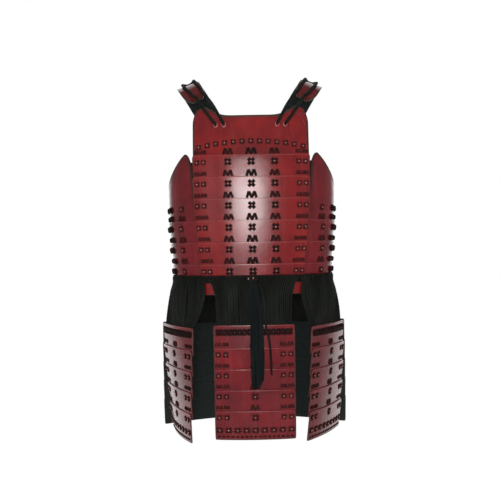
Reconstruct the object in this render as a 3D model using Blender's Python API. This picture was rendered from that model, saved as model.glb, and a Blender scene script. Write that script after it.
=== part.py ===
"""Laced leather body armour: a cuirass of lames, shoulder straps and five hanging tassets.

Metres, +Z up. The origin lies midway between the shoulder straps, where they rest on the
shoulders. The front faces -Y, and the wearer's left is at +X. Heights are given as "down",
the distance below the origin. Angles run from the front, 0, by the wearer's left, 90.
"""

import math

import bmesh
import bpy
from mathutils import Vector

# Leather and its fits
LEATHER = 0.003
SEAT_GAP = 0.0004
LAP = 0.012
SIDE_CLEARANCE = 0.0006

# Cuirass
HALF_WIDTH = 0.199
FRONT_DEPTH = 0.125
BACK_DEPTH = 0.118
SQUARENESS = 2.3
HORN_DOWN = 0.054
CHEST_PLATE = 0.113
LAME_PITCH = 0.0484
LAMES = 5
WAIST_LAME = 0.068
PLATE_HALF_WIDTH = 0.129
NECK_DIP = 0.0235
ARMHOLE_DOWN = 0.1585
ARMHOLE_DIP = 0.070
SIDE_LAMES = 2

# Shoulder straps and their laces
STRAP_WIDTH = 0.052
STRAP_SEAT = 0.067
STRAP_APART = 0.146
STRAP_SLOPE = 0.41
LACE = 0.0068
LACE_CLEARANCE = 0.0013
LACE_HOLE_DOWN = 0.0978
LACE_HOLE_OUT = 0.0764
LACE_HOLE_IN = 0.0586

# Waist cord, its knot, tassel and tail
WAIST_CORD_ABOVE_FOOT = 0.0425
WAIST_CORD_HEIGHT = 0.016
WAIST_CORD_THICK = 0.0048
WAIST_CORD_CLEARANCE = 0.0009
KNOT_WIDTH = 0.026
KNOT_HEIGHT = 0.021
KNOT_DEPTH = 0.014
TASSEL_WIDTH = 0.030
TASSEL_DEPTH = 0.011
TASSEL_LENGTH = 0.235
TASSEL_LOCKS = 5
TASSEL_CLEARANCE = 0.0028
TAIL = 0.0045

# Hangers and tassets
HANGER_THICK = 0.004
HANGER_SEAT = 0.010
HANGER_LEDGE = 0.0005
HANGER_CLEARANCE = 0.0008
HANGER_SPREAD = 0.985
HANGER_DROP = 0.0905
TASSET_WIDTH = 0.178
TASSET_TOP_LAME = 0.050
TASSET_PITCH = 0.0462
TASSET_LAMES = 3
TASSET_END_LAME = 0.0645
TASSET_BOW = 0.008

# Finishes: colour and roughness
RED_LEATHER = ((0.27, 0.018, 0.022, 1), 0.34)
BLACK_CORD = ((0.012, 0.016, 0.014, 1), 0.72)

# Body sections: down as a share of the cuirass's bottom, then shares of the three half sizes
BODY_SECTIONS = [
    {"down": 0.10, "width": 0.900, "front": 0.820, "back": 0.860},
    {"down": 0.35, "width": 0.985, "front": 0.955, "back": 0.970},
    {"down": 0.55, "width": 1.000, "front": 1.000, "back": 1.000},
    {"down": 0.76, "width": 0.968, "front": 0.990, "back": 0.965},
    {"down": 1.00, "width": 0.918, "front": 0.945, "back": 0.920},
]

# Half width of the front and back pieces, and where the side pieces end under them
PLATE_EDGES = [
    {"down": 0.10, "plate": 1.000, "side": 1.065},
    {"down": 0.38, "plate": 1.000, "side": 1.062},
    {"down": 0.54, "plate": 1.000, "side": 1.000},
    {"down": 0.65, "plate": 0.982, "side": 0.905},
    {"down": 0.87, "plate": 0.892, "side": 0.800},
    {"down": 1.00, "plate": 0.840, "side": 0.750},
]

# Top edge of the chest and back plates: share of the half width, share of the neck's dip
NECK_OUTLINE = [
    {"across": 0.00, "dip": 1.00},
    {"across": 0.26, "dip": 1.00},
    {"across": 0.50, "dip": 0.98},
    {"across": 0.66, "dip": 0.45},
    {"across": 0.80, "dip": 0.02},
    {"across": 0.92, "dip": 0.25},
    {"across": 1.00, "dip": 1.25},
]

# Armhole edge of a side plate: share round it from either end, share of the armhole's dip
ARMHOLE_OUTLINE = [
    {"round": 0.00, "dip": 0.30},
    {"round": 0.04, "dip": 0.05},
    {"round": 0.08, "dip": 0.00},
    {"round": 0.16, "dip": 0.20},
    {"round": 0.26, "dip": 0.50},
    {"round": 0.38, "dip": 0.80},
    {"round": 0.50, "dip": 1.00},
]

# Middle of each tasset at its top and foot, and the way it faces there. Rows are written for the
# wearer's left; side -1 turns one to the right. The two side tassets hang a little differently.
TASSETS = [
    {
        "name": "front", "side": 1,
        "x": 0.0, "y": -0.146, "face": 0,
        "low_x": 0.0, "low_y": -0.126, "low_face": 0,
        "drop": 0.0,
    },
    {
        "name": "left", "side": 1,
        "x": 0.172, "y": -0.024, "face": 60,
        "low_x": 0.155, "low_y": -0.036, "low_face": 61,
        "drop": 0.010,
    },
    {
        "name": "right", "side": -1,
        "x": 0.176, "y": -0.022, "face": 62,
        "low_x": 0.167, "low_y": -0.033, "low_face": 72,
        "drop": 0.010,
    },
    {
        "name": "back_left", "side": 1,
        "x": 0.142, "y": 0.121, "face": 156,
        "low_x": 0.142, "low_y": 0.121, "low_face": 154,
        "drop": 0.010,
    },
    {
        "name": "back_right", "side": -1,
        "x": 0.142, "y": 0.121, "face": 156,
        "low_x": 0.142, "low_y": 0.121, "low_face": 154,
        "drop": 0.010,
    },
]

# Where each hanger starts and ends round the waist, and how soon each edge swings out
HANGERS = {
    "front": {"start": -39, "end": 39, "start_ease": 1.0, "end_ease": 1.0},
    "left": {"start": 47, "end": 108, "start_ease": 2.4, "end_ease": 0.45},
    "right": {"start": 47, "end": 108, "start_ease": 2.4, "end_ease": 0.45},
    "back_left": {"start": 112, "end": 176.5, "start_ease": 0.6, "end_ease": 1.2},
    "back_right": {"start": 112, "end": 176.5, "start_ease": 0.6, "end_ease": 1.2},
}

# Middle line of a shoulder strap from the back plate's top: shares of its distance from the
# middle, then places fore and aft and above the shoulder
STRAP_LINE = [
    {"apart": 0.700, "y": 0.098, "z": -0.058},
    {"apart": 0.800, "y": 0.086, "z": -0.026},
    {"apart": 0.930, "y": 0.050, "z": 0.002},
    {"apart": 1.000, "y": 0.008, "z": 0.011},
    {"apart": 0.950, "y": -0.034, "z": -0.002},
    {"apart": 0.800, "y": -0.074, "z": -0.040},
]

# Width of the strap along it, from the back plate to the rounded front end
STRAP_WIDTHS = [
    {"along": 0.00, "width": 0.70},
    {"along": 0.04, "width": 1.00},
    {"along": 0.86, "width": 1.00},
    {"along": 0.95, "width": 0.86},
    {"along": 1.00, "width": 0.45},
]

# Lace over the strap's front end: share along the strap, across it, and its height there
LACE_OVER_STRAP = [
    {"along": 0.990, "across": -0.12, "height": 1.7},
    {"along": 0.930, "across": -0.22, "height": 1.1},
    {"along": 0.830, "across": -0.34, "height": 1.0},
    {"along": 0.730, "across": -0.42, "height": 1.0},
    {"along": 0.640, "across": -0.34, "height": 1.0},
    {"along": 0.600, "across": 0.05, "height": 1.0},
    {"along": 0.640, "across": 0.50, "height": 1.0},
    {"along": 0.740, "across": 0.66, "height": 1.0},
    {"along": 0.840, "across": 0.70, "height": 1.0},
    {"along": 0.930, "across": 0.78, "height": 1.1},
    {"along": 1.000, "across": 1.60, "height": 1.6},
]

# Lace from a hole in the chest plate up to its edge: share of the way up, spread outwards
LACE_UP_PLATE = [
    {"up": 0.00, "outer": 1.00, "inner": 1.00},
    {"up": 0.42, "outer": 1.19, "inner": 1.17},
    {"up": 1.00, "outer": 1.42, "inner": 1.42},
]

# Route of the free tail, from the middle of the knot down over the front tasset
TAIL_ROUTE = [
    (0.0114, -0.0014, -0.0072),
    (0.0145, -0.0026, -0.0135),
    (0.0185, -0.0064, -0.0245),
    (0.0210, -0.0119, -0.0365),
    (0.0226, -0.0174, -0.0505),
    (0.0240, -0.0220, -0.0755),
    (0.0264, -0.0254, -0.1015),
    (0.0300, -0.0269, -0.1195),
    (0.0335, -0.0269, -0.1405),
    (0.0352, -0.0259, -0.1655),
    (0.0360, -0.0246, -0.1875),
    (0.0362, -0.0234, -0.2055),
]

CUIRASS_DOWN = HORN_DOWN + CHEST_PLATE + LAMES * LAME_PITCH + WAIST_LAME
PLATE_COLUMNS = [row["across"] for row in NECK_OUTLINE]
SIDE_COLUMNS = [row["round"] for row in ARMHOLE_OUTLINE]
TASSET_COLUMNS = [-1, -0.5, 0, 0.5, 1]
WAIST_CORD_DOWN = CUIRASS_DOWN - WAIST_CORD_ABOVE_FOOT
HANGER_DOWN = WAIST_CORD_DOWN + WAIST_CORD_HEIGHT + HANGER_LEDGE
TASSET_DOWN = WAIST_CORD_DOWN + WAIST_CORD_HEIGHT + HANGER_DROP


def clear_scene():
    for thing in list(bpy.data.objects):
        bpy.data.objects.remove(thing, do_unlink=True)


def finish_of(name, finish):
    """A material of the object's own, with its colour and roughness."""
    colour, roughness = finish
    material = bpy.data.materials.new(name)
    material.use_nodes = True
    shader = material.node_tree.nodes["Principled BSDF"]
    shader.inputs["Base Color"].default_value = colour
    shader.inputs["Roughness"].default_value = roughness
    return material


def add_object(name, data, finish):
    thing = bpy.data.objects.new(name, data)
    thing.data.materials.append(finish_of(name + "_finish", finish))
    bpy.context.collection.objects.link(thing)
    return thing


def read_table(table, key, value, place):
    """The smooth value of a table's column between its rows (Catmull-Rom)."""
    keys = [row[key] for row in table]
    values = [row[value] for row in table]
    if place <= keys[0]:
        return values[0]
    if place >= keys[-1]:
        return values[-1]
    after = next(i for i, k in enumerate(keys) if k > place)
    before = after - 1
    span = keys[after] - keys[before]
    t = (place - keys[before]) / span

    def slope(i):
        low, high = max(i - 1, 0), min(i + 1, len(keys) - 1)
        return (values[high] - values[low]) / (keys[high] - keys[low])

    start, end = values[before], values[after]
    lead, tail = slope(before) * span, slope(after) * span
    cubic = 2 * start - 2 * end + lead + tail
    square = 3 * end - 3 * start - 2 * lead - tail
    return ((cubic * t + square) * t + lead) * t + start


def body_sizes(down):
    share = down / CUIRASS_DOWN
    width = HALF_WIDTH * read_table(BODY_SECTIONS, "down", "width", share)
    front = FRONT_DEPTH * read_table(BODY_SECTIONS, "down", "front", share)
    back = BACK_DEPTH * read_table(BODY_SECTIONS, "down", "back", share)
    return width, front, back


def body_normal(angle, down):
    return (body_point(angle, down, LEATHER) - body_point(angle, down, 0)).normalized()


def body_point(angle, down, out):
    """A point on the body's rounded-square section, moved outwards by out."""
    width, front, back = body_sizes(down)
    turn = math.radians(angle)
    across, along = math.sin(turn), -math.cos(turn)
    depth = back if along > 0 else front
    reach = ((abs(across) / width) ** SQUARENESS + (abs(along) / depth) ** SQUARENESS) ** (-1 / SQUARENESS)
    x, y = reach * across, reach * along
    normal_x = math.copysign((abs(x) / width) ** (SQUARENESS - 1) / width, x)
    normal_y = math.copysign((abs(y) / depth) ** (SQUARENESS - 1) / depth, y)
    return Vector((x, y, -down)) + Vector((normal_x, normal_y, 0)).normalized() * out


def angle_at(half_width, down, behind=False):
    """The angle at which the section is half_width from the middle."""
    low, high = 0.0, 90.0
    for _ in range(40):
        middle = (low + high) / 2
        angle = 180 - middle if behind else middle
        if body_point(angle, down, 0).x < half_width:
            low = middle
        else:
            high = middle
    return 180 - low if behind else low


def edge_half_width(column, down):
    return PLATE_HALF_WIDTH * read_table(PLATE_EDGES, "down", column, down / CUIRASS_DOWN)


def front_place(across, down, out):
    angle = angle_at(abs(across) * edge_half_width("plate", down), down)
    return body_point(math.copysign(angle, across), down, out)


def back_place(across, down, out):
    angle = angle_at(abs(across) * edge_half_width("plate", down), down, behind=True)
    return body_point(math.copysign(angle, across), down, out)


def lap_lift(height):
    """How far the top of a lame stands out, to lie on the piece above it."""
    return (LEATHER + SEAT_GAP) / (1 - LAP / height)


def side_tuck():
    """How far the side pieces lie inside the front ones, whose laps are level with theirs."""
    return 2 * LEATHER + SEAT_GAP + SIDE_CLEARANCE


def waist_outside(down):
    """How far the outer face of the waist lames stands out."""
    return lap_lift(WAIST_LAME) * (CUIRASS_DOWN - down) / WAIST_LAME + LEATHER


def side_place(side):
    """Places on a side piece, which is tucked in under the front and back pieces."""

    def place(share, down, out):
        half = edge_half_width("side", down)
        start = angle_at(half, down)
        end = angle_at(half, down, behind=True)
        return body_point(side * (start + share * (end - start)), down, out - side_tuck())

    return place


def tasset_place(row):
    """Places on a tasset, from its table row: across -1 to 1, then down and out."""
    top = TASSET_DOWN + row["drop"]
    side = row["side"]

    def place(across, down, out):
        share = (down - top) / tasset_height()
        face = side * math.radians(row["face"] + share * (row["low_face"] - row["face"]))
        x = side * (row["x"] + share * (row["low_x"] - row["x"]))
        y = row["y"] + share * (row["low_y"] - row["y"])
        sideways = Vector((math.cos(face), math.sin(face), 0))
        outwards = Vector((math.sin(face), -math.cos(face), 0))
        bow = TASSET_BOW * (1 - across * across)
        return Vector((x, y, -down)) + sideways * (across * TASSET_WIDTH / 2) + outwards * (out + bow)

    return place


def on_facets(place, across, down, out):
    """A place on the flat facet between the two tasset columns that across lies between."""
    after = next((i for i, column in enumerate(TASSET_COLUMNS) if column >= across), len(TASSET_COLUMNS) - 1)
    after = max(after, 1)
    low, high = TASSET_COLUMNS[after - 1], TASSET_COLUMNS[after]
    share = (across - low) / (high - low)
    return place(low, down, out).lerp(place(high, down, out), share)


def tasset_height():
    return TASSET_TOP_LAME + TASSET_LAMES * TASSET_PITCH + TASSET_END_LAME


def mesh_object(name, mesh, finish):
    """Make an object of a closed bmesh, with its faces turned outwards."""
    bmesh.ops.recalc_face_normals(mesh, faces=mesh.faces)
    data = bpy.data.meshes.new(name)
    mesh.to_mesh(data)
    mesh.free()
    data.shade_smooth()
    data.set_sharp_from_angle(angle=math.radians(35))
    return add_object(name, data, finish)


def close_wall(name, finish, columns, rows, inner, outer):
    """A closed wall from its inner and outer point at each column and row."""
    mesh = bmesh.new()
    faces = []
    for place in (inner, outer):
        faces.append([[mesh.verts.new(place(c, r)) for r in range(rows)] for c in range(columns)])
    for grid in faces:
        for c in range(columns - 1):
            for r in range(rows - 1):
                mesh.faces.new((grid[c][r], grid[c + 1][r], grid[c + 1][r + 1], grid[c][r + 1]))
    rim = [(c, 0) for c in range(columns)]
    rim += [(columns - 1, r) for r in range(1, rows)]
    rim += [(c, rows - 1) for c in range(columns - 2, -1, -1)]
    rim += [(0, r) for r in range(rows - 2, 0, -1)]
    for (c, r), (next_c, next_r) in zip(rim, rim[1:] + rim[:1]):
        corners = (faces[0][c][r], faces[0][next_c][next_r], faces[1][next_c][next_r], faces[1][c][r])
        mesh.faces.new(corners)
    return mesh_object(name, mesh, finish)


def leather_piece(name, columns, levels, place, lift):
    """A leather wall: levels(column) are its heights there, lift(down) how far it stands out."""
    table = [levels(column) for column in columns]

    def inner(c, r):
        return place(columns[c], table[c][r], lift(table[c][r]))

    def outer(c, r):
        return place(columns[c], table[c][r], lift(table[c][r]) + LEATHER)

    return close_wall(name, RED_LEATHER, len(columns), len(table[0]), inner, outer)


def both_sides(shares):
    return [-share for share in reversed(shares) if share > 0] + list(shares)


def flat(down):
    return 0.0


def plate_levels(outline, bottom, rows):
    """Heights down a plate from its shaped top edge, with a row where its lap starts."""

    def levels(column):
        top = outline(column)
        lap_top = bottom - LAP
        return [top + (lap_top - top) * r / (rows - 1) for r in range(rows)] + [bottom]

    return levels


def lame(name, columns, top, bottom, place):
    """A lame whose top lies outside the piece above it, and whose foot lies under the next."""
    raised = lap_lift(bottom - top)
    levels = [top, top + LAP, bottom - LAP, bottom]

    def lift(down):
        return raised * (bottom - down) / (bottom - top)

    return leather_piece(name, columns, lambda column: levels, place, lift)


def lame_row(name, columns, top, pitch, count, end_height, place):
    """A row of lapped lames, numbered from the top; the last one is end_height tall."""
    for number in range(count):
        lame_top = top + number * pitch
        lame(f"{name}_{number + 1}", columns, lame_top, lame_top + pitch + LAP, place)
    last_top = top + count * pitch
    lame(f"{name}_{count + 1}", columns, last_top, last_top + end_height, place)


def neck_outline(across):
    dip = read_table(NECK_OUTLINE, "across", "dip", abs(across))
    return HORN_DOWN + NECK_DIP * dip


def armhole_outline(share):
    dip = read_table(ARMHOLE_OUTLINE, "round", "dip", min(share, 1 - share))
    return ARMHOLE_DOWN + ARMHOLE_DIP * dip


def make_front_and_back():
    """The chest plate and the back plate, each with its row of lames."""
    columns = both_sides(PLATE_COLUMNS)
    plate_bottom = HORN_DOWN + CHEST_PLATE
    levels = plate_levels(neck_outline, plate_bottom + LAP, 6)
    for name, plate, place in (("front", "chest_plate", front_place), ("back", "back_plate", back_place)):
        leather_piece(plate, columns, levels, place, flat)
        lame_row(f"{name}_lame", columns, plate_bottom, LAME_PITCH, LAMES, WAIST_LAME, place)


def make_sides():
    """The side plates under the arms, each with its lames."""
    columns = SIDE_COLUMNS + [1 - share for share in reversed(SIDE_COLUMNS[:-1])]
    waist_top = CUIRASS_DOWN - WAIST_LAME
    plate_bottom = waist_top - SIDE_LAMES * LAME_PITCH
    levels = plate_levels(armhole_outline, plate_bottom + LAP, 6)
    for name, side in (("left", 1), ("right", -1)):
        place = side_place(side)
        leather_piece(f"{name}_side_plate", columns, levels, place, flat)
        lame_row(f"{name}_side_lame", columns, plate_bottom, LAME_PITCH, SIDE_LAMES, WAIST_LAME, place)


def smooth_line(points, count):
    """Points evenly spread along a Catmull-Rom curve through the given ones."""
    ends = [2 * points[0] - points[1]] + list(points) + [2 * points[-1] - points[-2]]
    fine = []
    steps = 12
    for a, b, c, d in zip(ends, ends[1:], ends[2:], ends[3:]):
        for step in range(steps):
            t = step / steps
            square = 2 * a - 5 * b + 4 * c - d
            cubic = 3 * b - a - 3 * c + d
            fine.append(0.5 * (2 * b + (c - a) * t + square * t ** 2 + cubic * t ** 3))
    fine.append(Vector(points[-1]))
    lengths = [0.0]
    for a, b in zip(fine, fine[1:]):
        lengths.append(lengths[-1] + (b - a).length)
    line = []
    for i in range(count):
        wanted = lengths[-1] * i / (count - 1)
        after = next((k for k, length in enumerate(lengths) if length >= wanted), len(fine) - 1)
        after = max(after, 1)
        run = lengths[after] - lengths[after - 1]
        share = (wanted - lengths[after - 1]) / run
        line.append(fine[after - 1].lerp(fine[after], min(max(share, 0), 1)))
    return line


def strap_line(side):
    """The middle line of a strap's under face, from the back plate over the shoulder."""
    out = LEATHER + SEAT_GAP
    first = STRAP_LINE[0]["apart"] * STRAP_APART
    points = []
    for down in (HORN_DOWN + STRAP_SEAT, HORN_DOWN + STRAP_SEAT / 2, HORN_DOWN):
        points.append(body_point(side * angle_at(first, down, behind=True), down, out))
    for row in STRAP_LINE[1:]:
        points.append(Vector((side * row["apart"] * STRAP_APART, row["y"], row["z"])))
    return smooth_line(points, 17)


def strap_place(side):
    """Places on a shoulder strap: share along it, across -1 to 1, height above its under face."""
    line = strap_line(side)
    plate_angle = side * angle_at(STRAP_LINE[0]["apart"] * STRAP_APART, HORN_DOWN, behind=True)

    def place(along, across, height):
        spot = along * (len(line) - 1)
        before = min(int(spot), len(line) - 2)
        middle = line[before].lerp(line[before + 1], spot - before)
        forward = (line[before + 1] - line[before]).normalized()
        plate_normal = body_normal(plate_angle, HORN_DOWN)
        on_plate = Vector((-plate_normal.y, plate_normal.x, 0)) * side
        on_shoulder = Vector((-side, 0, STRAP_SLOPE))
        inwards = on_plate.lerp(on_shoulder, min(max(along * 2.6 - 0.9, 0), 1))
        inwards = (inwards - forward * inwards.dot(forward)).normalized()
        upwards = inwards.cross(forward) * side
        width = STRAP_WIDTH / 2 * read_table(STRAP_WIDTHS, "along", "width", along)
        return middle + inwards * (across * width) + upwards * height

    return place


def make_straps():
    rows = 17
    across = (-1, -0.5, 0, 0.5, 1)
    for name, side in (("left", 1), ("right", -1)):
        place = strap_place(side)

        def inner(c, r):
            return place(r / (rows - 1), across[c], 0)

        def outer(c, r):
            return place(r / (rows - 1), across[c], LEATHER)

        close_wall(f"{name}_shoulder_strap", RED_LEATHER, len(across), rows, inner, outer)


def add_cord(name, line, diameter, resolution):
    """A round cord: a poly curve with a bevel and filled caps."""
    curve = bpy.data.curves.new(name, "CURVE")
    curve.dimensions = "3D"
    curve.bevel_depth = diameter / 2
    curve.bevel_resolution = resolution
    curve.render_resolution_u = 0
    curve.use_fill_caps = True
    spline = curve.splines.new("POLY")
    spline.points.add(len(line) - 1)
    for point, place in zip(spline.points, line):
        point.co = (*place, 1)
    return add_object(name, curve, BLACK_CORD)


def make_laces():
    """A lace on each shoulder: from one hole in the chest plate, over the strap, to the other."""
    above_plate = LEATHER + SEAT_GAP + LACE / 2
    above_strap = LEATHER + LACE_CLEARANCE + LACE / 2
    edge_down = HORN_DOWN - LACE / 2
    for name, side in (("left", 1), ("right", -1)):
        place = strap_place(side)

        def up_plate(hole, spread):
            points = []
            for row in LACE_UP_PLATE:
                down = LACE_HOLE_DOWN + (edge_down - LACE_HOLE_DOWN) * row["up"]
                angle = side * angle_at(hole * row[spread], down)
                points.append(body_point(angle, down, above_plate))
            return points

        over = [place(row["along"], row["across"], above_strap * row["height"]) for row in LACE_OVER_STRAP]
        points = up_plate(LACE_HOLE_OUT, "outer") + over + up_plate(LACE_HOLE_IN, "inner")[::-1]
        add_cord(f"{name}_shoulder_lace", smooth_line(points, 36), LACE, 2)


def make_waist_cord():
    """The closed ring of the waist cord, round the outside of the waist lames."""
    segments = 44
    inner = waist_outside(WAIST_CORD_DOWN) + WAIST_CORD_CLEARANCE
    corners = (
        (WAIST_CORD_DOWN, inner),
        (WAIST_CORD_DOWN, inner + WAIST_CORD_THICK),
        (WAIST_CORD_DOWN + WAIST_CORD_HEIGHT, inner + WAIST_CORD_THICK),
        (WAIST_CORD_DOWN + WAIST_CORD_HEIGHT, inner),
    )
    mesh = bmesh.new()
    rings = []
    for i in range(segments):
        angle = 360 * i / segments
        rings.append([mesh.verts.new(body_point(angle, down, out)) for down, out in corners])
    for ring, following in zip(rings, rings[1:] + rings[:1]):
        for k in range(len(corners)):
            after = (k + 1) % len(corners)
            mesh.faces.new((ring[k], ring[after], following[after], following[k]))
    return mesh_object("waist_cord", mesh, BLACK_CORD)


def make_tail():
    """The thin free end of the waist cord, which hangs from the knot."""
    knot = knot_middle()
    route = [knot + Vector(point) for point in TAIL_ROUTE]
    add_cord("waist_cord_tail", smooth_line(route, 22), TAIL, 2)


def knot_middle():
    cord_out = waist_outside(WAIST_CORD_DOWN) + WAIST_CORD_CLEARANCE + WAIST_CORD_THICK
    return body_point(0, WAIST_CORD_DOWN + WAIST_CORD_HEIGHT / 2, cord_out + SEAT_GAP + KNOT_DEPTH / 2)


def tassel_outline():
    """The lobed section of the tassel: round locks side by side, each cut short differently."""
    lock = TASSEL_WIDTH / TASSEL_LOCKS
    outline = []
    for front in (-1, 1):
        for i in range(TASSEL_LOCKS):
            number = i if front < 0 else TASSEL_LOCKS - 1 - i
            middle = -TASSEL_WIDTH / 2 + lock * (number + 0.5)
            trim = 0.006 * math.sin(2.4 * number + 0.8)
            for turn in (-0.5, -0.2, 0.2):
                x = middle - front * turn * lock
                bulge = math.cos(turn * math.pi * 0.8)
                outline.append((x, front * TASSEL_DEPTH / 2 * bulge, trim))
    return outline


def make_knot_and_tassel():
    """The knot, with the tassel's locks fused to it and hanging over the front tasset."""
    knot = knot_middle()
    bpy.ops.mesh.primitive_uv_sphere_add(segments=12, ring_count=8, radius=1)
    ball = bpy.context.active_object
    data = ball.data
    for vertex in data.vertices:
        x, y, z = vertex.co
        vertex.co = knot + Vector((x * KNOT_WIDTH / 2, y * KNOT_DEPTH / 2, z * KNOT_HEIGHT / 2))
    data.materials.append(finish_of("waist_knot_finish", BLACK_CORD))
    data.shade_smooth()
    ball.name = "waist_knot_tassel"

    stand_off = LEATHER + TASSEL_CLEARANCE + TASSEL_DEPTH / 2
    hanging_y = tasset_place(TASSETS[0])(0, TASSET_DOWN, 0).y - stand_off
    fall = [
        {"down": 0.00, "out": 0.00, "aside": 0.0, "width": 0.55},
        {"down": 0.10, "out": 0.30, "aside": 0.2, "width": 0.85},
        {"down": 0.24, "out": 0.72, "aside": 0.6, "width": 1.00},
        {"down": 0.42, "out": 1.00, "aside": 1.0, "width": 1.00},
        {"down": 0.70, "out": 1.03, "aside": 1.0, "width": 1.02},
        {"down": 1.00, "out": 1.02, "aside": 1.0, "width": 0.98},
    ]
    aside = 0.006
    start = knot - Vector((0, 0, KNOT_HEIGHT * 0.2))
    outline = tassel_outline()
    mesh = bmesh.new()
    rings = []
    for row in fall:
        y = start.y + (hanging_y - start.y) * row["out"]
        trimmed = row["down"] == 1
        ring = []
        for x, depth, trim in outline:
            z = start.z - TASSEL_LENGTH * row["down"] + (trim if trimmed else 0)
            ring.append(mesh.verts.new((start.x + aside * row["aside"] + x * row["width"], y + depth, z)))
        rings.append(ring)
    for ring, following in zip(rings, rings[1:]):
        for k in range(len(ring)):
            after = (k + 1) % len(ring)
            mesh.faces.new((ring[k], ring[after], following[after], following[k]))
    mesh.faces.new(rings[0])
    mesh.faces.new(rings[-1])
    locks = mesh_object("tassel_locks", mesh, BLACK_CORD)
    locks.hide_render = True
    locks.display_type = "WIRE"
    fuse = ball.modifiers.new("fuse_tassel", "BOOLEAN")
    fuse.operation = "UNION"
    fuse.object = locks


def make_hanger(row):
    """The bundle of cords that carries one tasset from the waist."""
    name, side = row["name"], row["side"]
    hanger = HANGERS[name]
    columns, rows = 9, 6
    place = tasset_place(row)
    gate_down = TASSET_DOWN + row["drop"] - HANGER_LEDGE
    foot_down = gate_down + HANGER_SEAT
    waist_out = waist_outside(HANGER_DOWN) + HANGER_CLEARANCE

    def point(c, r, out):
        share = c / (columns - 1)
        across = side * (2 * share - 1) * HANGER_SPREAD
        behind = out - HANGER_THICK - SEAT_GAP
        if r == rows - 1:
            return on_facets(place, across, foot_down, behind)
        fall = r / (rows - 2)
        angle = hanger["start"] + share * (hanger["end"] - hanger["start"])
        top = body_point(side * angle, HANGER_DOWN, waist_out + out)
        foot = on_facets(place, across, gate_down, behind)
        ease = hanger["start_ease"] + share * (hanger["end_ease"] - hanger["start_ease"])
        swing = fall ** ease
        x = top.x + (foot.x - top.x) * swing
        y = top.y + (foot.y - top.y) * swing
        return Vector((x, y, top.z + (foot.z - top.z) * fall))

    def inner(c, r):
        return point(c, r, 0)

    def outer(c, r):
        return point(c, r, HANGER_THICK)

    close_wall(f"hanger_{name}", BLACK_CORD, columns, rows, inner, outer)


def make_tasset(row):
    """A tasset of lapped lames."""
    name = row["name"]
    place = tasset_place(row)
    top = TASSET_DOWN + row["drop"]
    second = top + TASSET_TOP_LAME
    levels = [top, top + LAP, second, second + LAP]
    leather_piece(f"tasset_{name}_lame_1", TASSET_COLUMNS, lambda column: levels, place, flat)
    for number in range(TASSET_LAMES):
        start = second + number * TASSET_PITCH
        lame(f"tasset_{name}_lame_{number + 2}", TASSET_COLUMNS, start, start + TASSET_PITCH + LAP, place)
    start = second + TASSET_LAMES * TASSET_PITCH
    last = f"tasset_{name}_lame_{TASSET_LAMES + 2}"
    lame(last, TASSET_COLUMNS, start, start + TASSET_END_LAME, place)


def make_tassets():
    for row in TASSETS:
        make_tasset(row)
        make_hanger(row)


clear_scene()
make_front_and_back()
make_sides()
make_straps()
make_laces()
make_waist_cord()
make_knot_and_tassel()
make_tail()
make_tassets()
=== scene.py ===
"""Laced leather body armour: its leather, lacing, studs and hanging cords, in a plain studio."""

import math
import random

import bmesh
import bpy
from mathutils import Matrix, Vector
from mathutils.bvhtree import BVHTree


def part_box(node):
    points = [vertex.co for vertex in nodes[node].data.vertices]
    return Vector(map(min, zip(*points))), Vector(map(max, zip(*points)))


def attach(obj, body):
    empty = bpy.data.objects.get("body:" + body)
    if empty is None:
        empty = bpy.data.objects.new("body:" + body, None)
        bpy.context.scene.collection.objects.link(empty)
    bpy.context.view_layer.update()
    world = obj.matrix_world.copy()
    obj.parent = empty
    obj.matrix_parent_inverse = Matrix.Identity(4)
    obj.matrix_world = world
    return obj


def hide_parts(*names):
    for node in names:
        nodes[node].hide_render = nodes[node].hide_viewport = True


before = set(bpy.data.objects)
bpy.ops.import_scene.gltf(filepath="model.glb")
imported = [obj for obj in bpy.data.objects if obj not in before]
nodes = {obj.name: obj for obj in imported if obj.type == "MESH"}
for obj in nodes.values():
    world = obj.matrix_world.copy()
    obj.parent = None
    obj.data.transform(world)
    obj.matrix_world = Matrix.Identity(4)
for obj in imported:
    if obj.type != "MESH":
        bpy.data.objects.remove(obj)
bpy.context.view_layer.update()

# Camera, in metres and degrees
CAMERA_PLACE = (-0.0058, -1.85, -0.378)
CAMERA_LENS = 56.4
CAMERA_ROLL = 1.0

# Studio, in metres; the backdrop glows at the back, from one share of its radius to another, and
# below a height the glow leans forward
BACKDROP = 4.2
BACKDROP_HIGH = 9
BACKDROP_MIDDLE = 1.9
SURROUND = 4.0
FLOOR = -2.5
FLOOR_RADIUS = 9
WORLD_STRENGTH = 0.07
GLOW = 1.02
GLOW_FROM = 0.62
GLOW_TO = 0.86
GLOW_LEAN = 0.55
GLOW_LEANS_FROM = -0.1
LIGHTS = [
    {"name": "key", "place": (-0.12, -3.5, -0.40), "aim": (0, 0, -0.36),
     "size": (1.05, 1.05), "power": 65},
    {"name": "left", "place": (-1.85, -2.9, -0.38), "aim": (0, 0, -0.36),
     "size": (0.9, 1.3), "power": 2.6},
    {"name": "above", "place": (0.3, -1.2, 2.2), "aim": (0, 0, -0.3),
     "size": (2.0, 1.6), "power": 14},
]

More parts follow.
